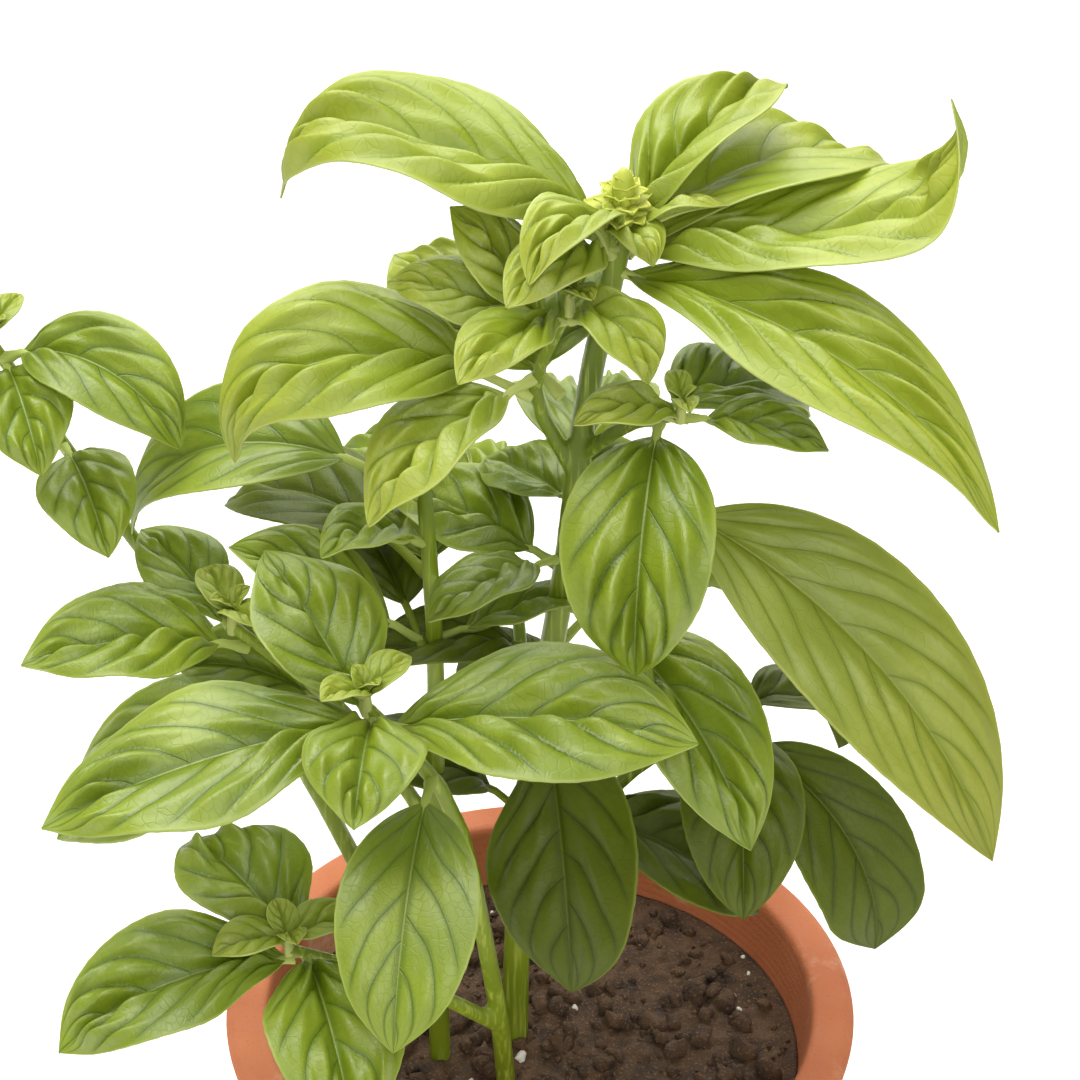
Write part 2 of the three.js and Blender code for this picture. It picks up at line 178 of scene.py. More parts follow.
lamp("sky", (-0.6, 0.2, 2.2), 1.8, 62)
lamp("back_sky", (0.1, 1.6, 1.5), 1.9, 36)
lamp("front_sky", (0.3, -1.6, 1.3), 1.4, 20)

world = bpy.data.worlds.new("pale surrounding")
world.use_nodes = True
background = world.node_tree.nodes["Background"]
background.inputs["Color"].default_value = (1.0, 0.98, 0.8, 1)
background.inputs["Strength"].default_value = 0.4
bpy.context.scene.world = world

# %% [markdown]
# ## Reading a leaf from its solid
#
# In the frame a leaf is a tube of eight-cornered rings: two rings for the stalk, then rings across
# the blade from its base to its tip. The corner at each closed end that touches all eight corners of
# its ring is the middle of the end. Walking out from there, ring by ring, gives the sections in
# order. The stalk has a channel on its upper side, so the corner that lies nearest to the middle of
# the stalk's ring shows which side of the leaf is up.

# %% Rings of a solid
SIDES = 8  # corners in each ring


def rings_of(node):
    """The rings of a tube-shaped solid, each an array of eight points in order round the ring."""
    solid = bmesh.new()
    solid.from_mesh(nodes[node].data)
    bmesh.ops.remove_doubles(solid, verts=solid.verts, dist=2e-6)
    ends = [v for v in solid.verts if len(v.link_edges) == SIDES]
    ends.sort(key=lambda v: -sum(e.calc_length() for e in v.link_edges))
    known, front, rings = {ends[0]}, [ends[0]], []
    while True:
        found = {e.other_vert(v) for v in front for e in v.link_edges} - known
        if len(found) != SIDES:
            break
        start = min(found, key=lambda v: v.co.to_tuple())
        order = [start]
        while len(order) < SIDES:
            order.append(next(
                e.other_vert(order[-1]) for e in order[-1].link_edges
                if e.other_vert(order[-1]) in found and e.other_vert(order[-1]) not in order
            ))
        known |= found
        front = order
        rings.append(np.array([v.co[:] for v in order]))
    solid.free()
    return rings


def lined_up(rings, first):
    """The rings with their corners matched, starting from ring first, whose upper corner is known."""
    matched = {first: rings[first]}
    for steps in (range(first + 1, len(rings)), range(first - 1, -1, -1)):
        before = rings[first]
        for k in steps:
            offsets = before - before.mean(axis=0)
            both_ways = (rings[k], rings[k][::-1])
            choices = [np.roll(ring, turn, axis=0) for ring in both_ways for turn in range(SIDES)]
            before = max(choices, key=lambda ring: (offsets * (ring - ring.mean(axis=0))).sum())
            matched[k] = before
    return [matched[k] for k in range(len(rings))]


def upper_first(ring, upper, forward):
    """A ring turned so that corner 0 is the upper one and corner 2 is on the right."""
    ring = np.roll(ring, -upper, axis=0)
    up = ring[0] - ring[SIDES // 2]
    right = np.cross(forward, up)
    return ring if np.dot(ring[2] - ring[6], right) > 0 else np.roll(ring[::-1], 1, axis=0)


# %% Read every leaf and every young pair
def leaf_rings(node):
    """A leaf's rings from its stalk to its tip, corner 0 on the upper side."""
    rings = rings_of(node)
    stalk = rings[0]
    middle = (stalk.max(axis=0) + stalk.min(axis=0)) / 2
    for _ in range(3):
        upper = int(np.argmin(np.linalg.norm(stalk - middle, axis=1)))
        middle = (stalk[(upper + 2) % SIDES] + stalk[(upper - 2) % SIDES]) / 2
    forward = rings[1].mean(axis=0) - rings[0].mean(axis=0)
    rings[0] = upper_first(stalk, upper, forward)
    return lined_up(rings, 0)


def pair_rings(node):
    """A young pair's rings from tip to tip, corner 0 on the upper side."""
    rings = rings_of(node)
    bud = len(rings) // 2
    upper = int(np.argmax(rings[bud][:, 2]))
    forward = rings[bud + 1].mean(axis=0) - rings[bud - 1].mean(axis=0)
    rings[bud] = upper_first(rings[bud], upper, forward)
    return lined_up(rings, bud)


leaf_nodes = [name for name in nodes if name.endswith("_leaf")]
pair_nodes = [name for name in nodes if name.endswith("_tip")]
stem_nodes = [name for name in nodes if name.endswith("_stem")]
leaf_sections = {name: leaf_rings(name) for name in leaf_nodes}
pair_sections = {name: pair_rings(name) for name in pair_nodes}
print(len(leaf_nodes), "leaves,", len(pair_nodes), "young pairs,", len(stem_nodes), "stems")
print("rings in a leaf:", len(leaf_sections[leaf_nodes[0]]))
print("rings in a pair:", len(pair_sections[pair_nodes[0]]))

# %% [markdown]
# ## Materials
#
# The finishes are built from nodes. A few small helpers keep that readable: one adds a node, one sets
# or links its inputs, one does a sum, and one turns a colour as it is seen into the linear colour
# that a shader wants.

# %% Helpers for node trees
def seen(red, green, blue):
    """A colour from 0 to 255 as it is seen, as the linear colour of a shader."""
    channels = [channel / 255 for channel in (red, green, blue)]
    return tuple(c / 12.92 if c <= 0.04045 else ((c + 0.055) / 1.055) ** 2.4 for c in channels) + (1,)


def fill(tree, node, inputs):
    """Sets a node's inputs to values, or links them to sockets."""
    for name, value in inputs.items():
        socket = node.inputs[name]
        if isinstance(value, bpy.types.NodeSocket):
            tree.links.new(value, socket)
        else:
            socket.default_value = value


def add(tree, kind, inputs=(), **settings):
    """A node with its settings and its inputs."""
    made = tree.nodes.new("ShaderNode" + kind)
    for name, value in settings.items():
        setattr(made, name, value)
    fill(tree, made, dict(inputs))
    return made


def calc(tree, operation, a, b=0.0, c=0.0):
    """The result of a sum on two or three numbers or sockets."""
    return add(tree, "Math", {0: a, 1: b, 2: c}, operation=operation).outputs[0]


def fade(tree, value, start, end, low=0.0, high=1.0):
    """low where value is below start, high above end, and smooth between."""
    ranged = {"Value": value, "From Min": start, "From Max": end, "To Min": low, "To Max": high}
    return add(tree, "MapRange", ranged, interpolation_type="SMOOTHSTEP").outputs["Result"]


def blend(tree, amount, one, other):
    """A colour between one and other."""
    mixed = add(tree, "Mix", {0: amount, 6: one, 7: other}, data_type="RGBA")
    return mixed.outputs[2]


def new_group(name, inputs, outputs):
    """An empty node group with named inputs and outputs, and its two end nodes."""
    group = bpy.data.node_groups.new(name, "ShaderNodeTree")
    for label, value in inputs.items():
        socket = group.interface.new_socket(label, in_out="INPUT", socket_type="NodeSocketFloat")
        socket.default_value = value
    for label in outputs:
        group.interface.new_socket(label, in_out="OUTPUT", socket_type="NodeSocketFloat")
    return group, group.nodes.new("NodeGroupInput").outputs, group.nodes.new("NodeGroupOutput")


def new_material(name):
    """A material with an empty tree, its Principled shader and its output."""
    material = bpy.data.materials.new(name)
    material.use_nodes = True
    tree = material.node_tree
    return material, tree, tree.nodes["Principled BSDF"], tree.nodes["Material Output"]


def roughened(tree, skin, height, strength, depth):
    """Gives the skin a relief of this depth, and returns its normal."""
    bump = add(tree, "Bump", {"Height": height, "Strength": strength, "Distance": depth})
    tree.links.new(bump.outputs[0], skin.inputs["Normal"])
    return bump.outputs[0]


# %% [markdown]
# ## The veins of a blade
#
# The side veins, the fine net between them and the margin all follow the blade, so they are drawn in
# its UV map: one number runs from the base to the tip, the other from margin to margin. A second map
# holds the count of side veins that also quilts the mesh, so the painted veins lie in its valleys.

# %% A node group for the veins
VEIN_SPAN = 16  # the veins' map holds their count divided by this, so that it stays between 0 and 1

veins_group, veins_in, veins_out = new_group(
    "Leaf veins",
    {"Vein Width": 0.035, "Midrib Width": 0.035, "Net Size": 15.0},
    ["Vein", "Midrib", "Valley", "Net", "Margin", "Height", "Tip"],
)
t = veins_group
chart = add(t, "SeparateXYZ", {0: add(t, "UVMap", uv_map="blade").outputs[0]}).outputs
across = calc(t, "ABSOLUTE", calc(t, "MULTIPLY_ADD", chart[1], 2.0, -1.0))
counted = add(t, "SeparateXYZ", {0: add(t, "UVMap", uv_map="veins").outputs[0]}).outputs[0]
phase = calc(t, "FRACT", calc(t, "MULTIPLY", counted, VEIN_SPAN))
from_vein = calc(t, "MINIMUM", phase, calc(t, "SUBTRACT", 1.0, phase))
reach = calc(t, "MULTIPLY", veins_in["Vein Width"], calc(t, "MULTIPLY_ADD", across, -0.7, 1.1))
drawn = fade(t, across, 0.98, 0.8)
vein = calc(t, "MULTIPLY", fade(t, calc(t, "DIVIDE", from_vein, reach), 1.0, 0.2), drawn)
taper = calc(t, "MULTIPLY", veins_in["Midrib Width"], calc(t, "MULTIPLY_ADD", chart[0], -0.6, 1.0))
midrib = fade(t, calc(t, "DIVIDE", across, taper), 1.0, 0.4)
# Painted shade: the upper side is darkened in the valleys beside the side veins and along the midrib.
beside_vein = calc(t, "MULTIPLY", fade(t, from_vein, 0.2, 0.0), drawn)
valley_shade = calc(t, "MAXIMUM", beside_vein, fade(t, across, 0.14, 0.02))
net_place = add(t, "CombineXYZ", {0: calc(t, "MULTIPLY", chart[0], 2.0), 1: chart[1]}).outputs[0]
net_cells = {"Vector": net_place, "Scale": veins_in["Net Size"]}
from_net = add(t, "TexVoronoi", net_cells, feature="DISTANCE_TO_EDGE").outputs["Distance"]
net = calc(t, "MULTIPLY", fade(t, from_net, 0.10, 0.0), fade(t, across, 0.99, 0.9))
margin = fade(t, across, 0.955, 0.995)
sunk = calc(t, "MULTIPLY_ADD", net, -0.3, calc(t, "MULTIPLY", midrib, -1.2))
sunk = calc(t, "MULTIPLY_ADD", vein, -1.0, sunk)
tip = fade(t, chart[0], 0.3, 1.0)
masks = {
    "Vein": vein, "Midrib": midrib, "Valley": valley_shade, "Net": net,
    "Margin": margin, "Height": sunk, "Tip": tip,
}
for name, value in masks.items():
    t.links.new(value, veins_out.inputs[name])
print("vein group:", len(t.nodes), "nodes")

# %% A node group for slow changes of tone
tone_group, tone_in, tone_out = new_group(
    "Soft mottling", {"Scale": 60.0, "Contrast": 1.0}, ["Broad", "Fine"],
)
t = tone_group
here = add(t, "TexCoord").outputs["Object"]
broad = add(t, "TexNoise", {"Vector": here, "Scale": tone_in["Scale"], "Detail": 2.0}).outputs["Fac"]
fine_scale = calc(t, "MULTIPLY", tone_in["Scale"], 9.0)
fine = add(t, "TexNoise", {"Vector": here, "Scale": fine_scale, "Detail": 4.0}).outputs["Fac"]
for label, value in (("Broad", broad), ("Fine", fine)):
    spread = calc(t, "MULTIPLY", calc(t, "SUBTRACT", value, 0.5), tone_in["Contrast"])
    t.links.new(calc(t, "ADD", spread, 0.5), tone_out.inputs[label])

# %% [markdown]
# ## The leaf finishes
#
# A leaf is a thin sheet with a waxy skin: part of the light is thrown back, part shines through, and
# the skin adds a soft gloss. The upper side is paler on the swellings and darkened to deep green in the
# valleys, which is painted shade; the side veins there are dark grooves, darkened further with painted
# shade, with a light midrib and margin. The tone changes slowly towards the tip. The underside is paler
# and duller, with pale ribs. Young leaves are yellow-green and old ones olive; the leaves in shade get
# a darker green, which is painted shade.


# %% One recipe for every leaf
SHINE_THROUGH = 0.26  # share of a blade's light that comes through it
SKIN_RELIEF = 0.22 * MM


def leaf_material(name, deep, pale, rib, through, ripe, rough, specular, under=False):
    """The finish of one side of a leaf."""
    material, tree, skin, output = new_material(name)
    veins = add(tree, "Group", node_tree=veins_group).outputs
    tone = add(tree, "Group", {"Scale": 45.0, "Contrast": 1.6}, node_tree=tone_group).outputs
    green = blend(tree, tone["Broad"], deep, pale)
    green = blend(tree, calc(tree, "MULTIPLY", veins["Tip"], 0.6), green, ripe)
    # Painted shade: the valleys of the upper side are darkened to deep green.
    green = blend(tree, calc(tree, "MULTIPLY", veins["Valley"], 0.0 if under else 0.8), green, deep)
    green = blend(tree, calc(tree, "MULTIPLY", veins["Net"], 0.16), green, rib if under else deep)
    # Painted shade: on the upper side the side veins are darkened to half the deep green; below, they take the
    # pale rib colour.
    shadowed = tuple(0.5 * channel for channel in deep[:3]) + (1,)
    vein_rib_and_shade, vein_strength = (rib, 0.6) if under else (shadowed, 0.4)
    green = blend(tree, calc(tree, "MULTIPLY", veins["Vein"], vein_strength), green, vein_rib_and_shade)
    green = blend(tree, calc(tree, "MULTIPLY", veins["Midrib"], 0.9 if under else 0.3), green, rib)
    green = blend(tree, calc(tree, "MULTIPLY", veins["Margin"], 0.6), green, rib)
    dulled = calc(tree, "MULTIPLY_ADD", tone["Fine"], 0.16, rough - 0.08)
    fill(tree, skin, {"Base Color": green, "Roughness": dulled, "Specular IOR Level": specular})
    depth = calc(tree, "MULTIPLY", veins["Height"], -0.6 if under else 1.0)
    relief = calc(tree, "MULTIPLY_ADD", tone["Fine"], 0.25, depth)
    normal = roughened(tree, skin, relief, 0.5, SKIN_RELIEF)
    shine = add(tree, "BsdfTranslucent", {"Color": blend(tree, 0.55, green, through), "Normal": normal})
    sheet = add(tree, "MixShader", {0: SHINE_THROUGH, 1: skin.outputs[0], 2: shine.outputs[0]})
    tree.links.new(sheet.outputs[0], output.inputs["Surface"])
    return material


# deep colour, pale colour, ribs and margin, light that shines through, tip, roughness, specular
GREENS = {
    "leaf_young": (
        seen(126, 146, 0), seen(172, 186, 70), seen(206, 214, 130), seen(200, 212, 24), seen(178, 184, 60),
        0.44, 0.8,
    ),
    "leaf": (
        seen(92, 116, 0), seen(156, 172, 46), seen(182, 196, 104), seen(176, 196, 4), seen(146, 164, 44),
        0.42, 0.8,
    ),
    # The leaves in shade: a darker copy of the leaf greens, which is painted shade.
    "leaf_shade": (
        seen(66, 80, 0), seen(104, 118, 2), seen(130, 142, 40), seen(138, 154, 0), seen(88, 100, 0),
        0.50, 0.4,
    ),
    "leaf_old": (
        seen(122, 138, 20), seen(170, 182, 84), seen(190, 194, 100), seen(200, 198, 34), seen(158, 158, 36),
        0.46, 0.7,
    ),
}
leaf_finish = {}
for slot, (deep, pale, rib, through, ripe, rough, specular) in GREENS.items():
    dull = tuple(0.5 * a + 0.5 * b for a, b in zip(pale, seen(150, 170, 96)))
    upper_side = leaf_material(slot, deep, pale, rib, through, ripe, rough, specular)
    under_colours = (dull, pale, rib, through, dull)
    under_side = leaf_material(slot + "_underside", *under_colours, rough + 0.18, 0.3, under=True)
    leaf_finish[slot] = (upper_side, under_side)


def dress(piece, *materials):
    """Gives a piece its materials, in the order of its material slots."""
    piece.data.materials.clear()
    for material in materials:
        piece.data.materials.append(material)


print("leaf finishes:", sorted(leaf_finish))

# %% [markdown]
# ## The blade of a leaf
#
# A basil blade is an egg-shaped sheet, a third of a millimetre thick, that is folded a little along
# its midrib. Between the side veins it swells up in soft quilts, because the tissue grows faster than
# the veins. It could be sculpted, but sixty leaves would each need it. So a flat grid is modelled in
# two sizes, whose points hold their place along and across the blade. Each leaf is a copy of one, laid
# over the leaf's own sections, quilted along the veins, and thickened by a Solidify modifier.

# %% A flat master blade
def master_blade(name, rows, columns):
    """A flat grid from 0 to 1 along x and from -1 to 1 along y."""
    pick(camera)
    bpy.ops.mesh.primitive_grid_add(x_subdivisions=rows, y_subdivisions=columns, size=1)
    blade = bpy.context.object
    blade.name = name
    points = points_of(blade.data)
    x = points[:, 0] + 0.5
    points[:, 0] = 0.6 * x + 0.2 * (1 - np.cos(np.pi * x))  # finer rows at the base and the tip
    points[:, 1] *= 2
    set_points(blade.data, points)
    blade.data.uv_layers[0].name = "blade"
    blade.data.uv_layers.new(name="veins")
    return blade


large_master = master_blade("large_master", 96, 54)
small_master = master_blade("small_master", 56, 34)
print("master blades:", len(large_master.data.polygons), "and", len(small_master.data.polygons), "faces")


# %% Lay the master over a leaf's sections
def smooth_between(stations, values, at):
    """Values at some stations, carried smoothly to other places between them."""
    stations, values, at = np.asarray(stations), np.asarray(values), np.asarray(at)
    slopes = np.gradient(values, stations, axis=0)
    k = np.clip(np.searchsorted(stations, at, side="right") - 1, 0, len(stations) - 2)
    width = stations[k + 1] - stations[k]
    t = (at - stations[k]) / width
    shape = (len(at),) + (1,) * (values.ndim - 1)
    t, width = t.reshape(shape), width.reshape(shape)
    return (
        (2 * t**3 - 3 * t**2 + 1) * values[k] + (t**3 - 2 * t**2 + t) * width * slopes[k]
        + (3 * t**2 - 2 * t**3) * values[k + 1] + (t**3 - t**2) * width * slopes[k + 1]
    )


def step(low, high, x):
    """0 below low, 1 above high, and smooth between."""
    t = np.clip((x - low) / (high - low), 0, 1)
    return t * t * (3 - 2 * t)


def outline(along):
    """Half the width of a basil blade along its length, as a share of the widest."""
    base, point = 0.75, 0.95
    peak = base / (base + point)
    return along**base * (1 - along)**point / (peak**base * (1 - peak)**point)


def flat_section(ring):
    """A ring's middle, its half width, and the places across it, left to right, over the half width."""
    left, right = ring[6], ring[2]
    middle = (ring[0] + ring[4]) / 2
    half_width = np.linalg.norm(right - left) / 2
    across = [left, (ring[5] + ring[7]) / 2, middle, (ring[1] + ring[3]) / 2, right]
    return middle, half_width, (np.array(across) - middle) / half_width


def half_curve(places, v):
    """From a section's middle to a margin: a curve through the middle, the 0.707 place and the margin."""
    inner, near, far = places
    a = 0.7071
    v = v[None, :, None]
    near_part = v * (v - 1) / (a * (a - 1))
    far_part = v * (v - a) / (1 - a)
    middle_part = (v - a) * (v - 1) / a
    return middle_part * inner[:, None] + near_part * near[:, None] + far_part * far[:, None]


def laid(sections, along, across, chance):
    """Points and upper directions of a bare blade at every place along and across it, and its width."""
    parts = [flat_section(ring) for ring in sections]
    middles = np.array([part[0] for part in parts])
    middles[0] = (sections[0][2] + sections[0][6]) / 2
    lengths = np.concatenate([[0], np.cumsum(np.linalg.norm(np.diff(middles, axis=0), axis=1))])
    stations = lengths / lengths[-1]
    shapes = np.array([part[2] for part in parts])
    shapes[0] = shapes[1]
    spans = np.array([part[1] for part in parts])
    fullness = spans[1:-1] / outline(stations[1:-1])
    fullness = np.concatenate([fullness[:1], fullness, fullness[-1:]])
    teeth = 1 + 0.014 * np.abs(np.modf(along * 15)[0] - 0.3) * step(0.1, 0.3, along)
    foot = 0.8 * MM * np.clip(1 - along / 0.1, 0, 1)
    half_width = smooth_between(stations, fullness, along) * outline(along) * teeth
    half_width = np.maximum(np.hypot(half_width, foot), 0.12 * MM)
    centre = smooth_between(stations, middles, along)
    shape = smooth_between(stations, shapes, along)
    left = half_curve((shape[:, 2], shape[:, 1], shape[:, 0]), np.clip(across, 0, 1))
    right = half_curve((shape[:, 2], shape[:, 3], shape[:, 4]), np.clip(-across, 0, 1))
    uneven = 1 + 0.05 * chance.uniform(-1, 1) * np.sign(across)
    spread = np.where(across[None, :, None] > 0, left, right) * uneven[None, :, None]
    points = centre[:, None] + half_width[:, None, None] * spread
    upper = np.cross(np.gradient(points, axis=0), np.gradient(points, axis=1))
    upper /= np.linalg.norm(upper, axis=2, keepdims=True) + 1e-12
    return points, upper, 2 * spans.max()


# %% The veins of a blade
VEIN_SWEEP = 0.42  # how far a side vein runs towards the tip before the margin, as a share of the length
VEIN_BEND = 1.2  # over 1, the vein leaves the midrib steeply and bends towards the tip
QUILT_HEIGHT = 0.075  # this and the next two are shares of the blade's width
BELLY_HEIGHT = 0.045
WAVE_HEIGHT = 0.03
MIDRIB_GROOVE = 0.5 * MM


def vein_count(along, across, pairs, chance):
    """How many side veins leave the midrib between the base and the line that each place lies on."""
    u, v = along[:, None], across[None, :]
    s = np.abs(v)
    wander = 0.011 * np.sin(8 * u + 4 * v + chance.uniform(0, 6))
    wander = wander + 0.008 * np.sin(13 * s - 9 * u + chance.uniform(0, 6))
    return pairs * (u - VEIN_SWEEP * s**VEIN_BEND + wander * step(0, 0.3, s))


def quilted(along, across, count, wide, puff, chance):
    """How far each place of a blade stands up from the bare sheet."""
    u, v = along[:, None], across[None, :]
    s = np.abs(v)
    count = count + 0.5 * (v > 0)
    cell = np.floor(count)
    phase = count - cell
    swell = np.sin(np.pi * phase**0.9) ** 0.8
    own = np.sin(12.9 * cell + 4.1 * (v > 0) + chance.uniform(0, 6))
    patches = np.sin(5.5 * u + 2.5 * v + chance.uniform(0, 6))
    patches = patches * np.sin(3.5 * v - 4 * u + chance.uniform(0, 6))
    ripples = np.sin(2 * np.pi * (1.9 * s + 0.37 * cell) + 3 * u + chance.uniform(0, 6))
    inside = step(0.03, 0.25, s) * (1 - step(0.66, 0.97, s))
    ends = step(0.02, 0.14, u) * (1 - step(0.78, 0.96, u))
    uneven = 0.85 + 0.35 * own + 0.38 * ripples * np.sin(np.pi * phase)
    shape = QUILT_HEIGHT * wide * swell * uneven * inside * ends
    shape = shape * (1 + 0.7 * patches)
    shape = shape + BELLY_HEIGHT * wide * np.sin(np.pi * s) * ends
    waves = np.sin(2 * np.pi * (chance.uniform(1.2, 2.2) * u + chance.uniform(0, 1)) + 1.4 * np.sign(v))
    shape = shape + WAVE_HEIGHT * wide * waves * s**2.5 * step(0.05, 0.3, u) * (1 - step(0.85, 1, u))
    groove = MIDRIB_GROOVE * np.exp(-((s / 0.05) ** 2)) * (1 - 0.8 * u)
    return puff * shape - groove


# %% [markdown]
# ## The stalk and the midrib
#
# The stalk runs on under the blade as the midrib, which stands out below as a rounded rib and thins
# towards the tip. One curve with a round bevel, whose radius shrinks from point to point, makes both
# in one piece. It starts inside the stem, flared, so that the leaf visibly grows out of it.

# %% A stalk from a curve
STALK_RADIUS = 1.1 * MM
MIDRIB_POINTS = 14
BLADE_MAPS = ("blade", "veins")


def round_tube(name, path, radii):
    """A round, closed tube along a path with a radius at each point, as a mesh."""
    curve = bpy.data.curves.new(name, "CURVE")
    curve.dimensions = "3D"
    curve.bevel_depth = 1
    curve.bevel_resolution = 2
    curve.use_fill_caps = True
    spline = curve.splines.new("POLY")
    spline.points.add(len(path) - 1)
    for point, place, radius in zip(spline.points, path, radii):
        point.co = (*place, 1)
        point.radius = radius
    tube = bpy.data.objects.new(name, curve)
    bpy.context.collection.objects.link(tube)
    pick(tube)
    bpy.ops.object.convert(target="MESH")
    tube = bpy.context.object
    for label in BLADE_MAPS:
        tube.data.uv_layers.new(name=label)
    middle = np.tile([0.0, 0.5], len(tube.data.loops))
    tube.data.uv_layers["blade"].data.foreach_set("uv", middle)
    return tube


def dress_below(tube, slot):
    """Shows a leaf's underside finish all over a tube."""
    dress(tube, *leaf_finish[slot])
    tube.data.polygons.foreach_set("material_index", np.ones(len(tube.data.polygons), dtype=int))


def rib_tube(name, lead_in, points, upper, along, slot, scale=1.0):
    """The stalk, along the points of lead_in, and the midrib under the blade, in the underside's finish."""
    middle_column = points.shape[1] // 2
    rows = np.linspace(0, 0.92 * (len(along) - 1), MIDRIB_POINTS).astype(int)
    path = [place for place, flare in lead_in]
    radii = [flare * STALK_RADIUS * scale for place, flare in lead_in]
    for row in rows:
        radius = scale * STALK_RADIUS * (0.12 + 0.83 * (1 - along[row]) ** 1.5)
        sink = min(1.0, along[row] / 0.05)
        below = upper[row, middle_column] * sink * (0.8 * radius + 0.2 * MM)
        path.append(points[row, middle_column] - below)
        radii.append(radius)
    tube = round_tube(name, path, radii)
    dress_below(tube, slot)
    return tube


# %% [markdown]
# ## Growing every leaf
#
# Most basil leaves are strongly quilted. A few are nearly smooth: the shaded ones low down and the
# ones that hang free. The quilting follows the width of the leaf, and each leaf draws its own small
# irregularities from its own seed, so no two are alike and every run gives the same plant. At the
# crown, in the rosettes and on a few short leaves the blade runs right down to the stem, so there is
# no bare stalk.

# %% One leaf from its rings
BLADE_THICKNESS = 0.35 * MM
PUFF = {"leaf_young": 1.25, "leaf": 1.0, "leaf_shade": 0.6, "leaf_old": 0.6}
SMOOTH_LEAVES = {
    "hanging_front_leaf": 0.18, "left_long_leaf": 0.3, "low_right_outer_leaf": 0.2, "shaded_front_leaf": 0.3,
    "left_shaded_leaf": 0.5, "far_left_inner_leaf": 0.8, "crown_back_right_leaf": 0.5,
    "right_large_leaf": 0.4, "left_inner_leaf": 0.5,
}
STALKLESS = ("crown", "rosette", "low_rosette", "mid_left_upper")


def blade_over(name, sections, slot, puff, chance):
    """A blade with its thickness, and what its midrib needs to know of it."""
    long = sum(np.linalg.norm(np.diff([ring.mean(axis=0) for ring in sections], axis=0), axis=1))
    blade = copied(large_master if long > 34 * MM else small_master, name)
    flat = points_of(blade.data)
    along, row = np.unique(flat[:, 0].round(6), return_inverse=True)
    across, column = np.unique(flat[:, 1].round(6), return_inverse=True)
    pairs = chance.uniform(3.1, 3.8) + long / (34 * MM)
    count = vein_count(along, across, pairs, chance)
    points, upper, wide = laid(sections, along, across, chance)
    points = points + upper * quilted(along, across, count, wide, puff, chance)[:, :, None]
    set_points(blade.data, points[row, column])

    corners = np.empty(len(blade.data.loops), dtype=int)
    blade.data.loops.foreach_get("vertex_index", corners)
    left_half = np.repeat(flat[corners, 1].reshape(-1, 4).mean(axis=1) > 0, 4)
    place = np.stack([flat[corners, 0], (flat[corners, 1] + 1) / 2], axis=1)
    counted = (count[row, column][corners] + 0.5 * left_half + 4) / VEIN_SPAN
    blade.data.uv_layers["blade"].data.foreach_set("uv", place.ravel())
    vein_place = np.stack([counted, place[:, 1]], axis=1)
    blade.data.uv_layers["veins"].data.foreach_set("uv", vein_place.ravel())

    dress(blade, *leaf_finish[slot])
    finish_with(blade, "SOLIDIFY", thickness=BLADE_THICKNESS, offset=-1, material_offset=1)
    return blade, points, upper, along, long


def leaf_from(name, rings, slot, puff, seed, stalkless=False):
    """A finished leaf from the rings of its solid."""
    chance = np.random.RandomState(seed)
    start = (rings[0][2] + rings[0][6]) / 2
    base = (rings[1][2] + rings[1][6]) / 2
    outward = (base - start) / np.linalg.norm(base - start)
    sections = [rings[0]] + rings[2:] if stalkless else rings[1:]
    blade, points, upper, along, long = blade_over(f"{name}_blade", sections, slot, puff, chance)
    lead_in = [(start - 2.2 * MM * outward, 1.4)]
    if not stalkless:
        far = np.linalg.norm(base - start)
        for share, flare in ((0.0, 1.35), (1.2 * MM / far, 1.1), (0.5, 0.95), (0.8, 0.95)):
            lead_in.append((start + share * (base - start), flare))
    scale = min(1, long / (50 * MM)) ** 0.5
    stalk = rib_tube(f"{name}_rib", lead_in, points, upper, along, slot, scale)
    leaf = joined(name, stalk, blade)
    leaf.data.name = name
    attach(leaf, "root")
    return leaf


GREENER = {"low_right_leaf": "leaf"}  # stands with the old leaves in the frame, and isn't as olive

for seed, node in enumerate(leaf_nodes):
    slot = GREENER.get(node, slot_of[node])
    puff = SMOOTH_LEAVES.get(node, PUFF[slot])
    name = "green_" + node
    leaf_from(name, leaf_sections[node], slot, puff, 100 + seed, node.startswith(STALKLESS))
    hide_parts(node)

# %% [markdown]
# ## Leaves that have no solid
#
# The frame holds the leaves that give the plant its shape. A few more small ones fill the foliage
# between them. Each is the shape of a leaf that has a solid, shrunk or stretched to its own length,
# and aimed in its own direction. Basil leaves sit in opposite pairs, so most of them share the joint
# of a leaf that is already there.


# %% Aim a leaf's shape somewhere else
def aimed(rings, root, heading, rise, length):
    """Rings of a leaf shape moved so that they run from root, in this direction, for this length."""
    start = rings[0].mean(axis=0)
    chord = rings[-1].mean(axis=0) - start
    level = math.hypot(chord[0], chord[1])
    turn = math.radians(heading) - math.atan2(chord[1], chord[0])
    tilt = math.radians(rise) - math.atan2(chord[2], level)
    sideways = Vector((chord[1], -chord[0], 0)).normalized()
    move = Matrix.Rotation(turn, 3, "Z") @ Matrix.Rotation(tilt, 3, sideways)
    move = np.array(move) * (length / np.linalg.norm(chord))
    return [np.asarray(root) + (ring - start) @ move.T for ring in rings]


def joint_of(node, across=0.0):
    """Where a leaf's stalk meets its stem, or a place this far beyond it, on the stem's other side."""
    rings = leaf_sections[node]
    start, base = rings[0].mean(axis=0), rings[1].mean(axis=0)
    outward = (base - start) * (1, 1, 0)
    return start - across * outward / np.linalg.norm(outward)


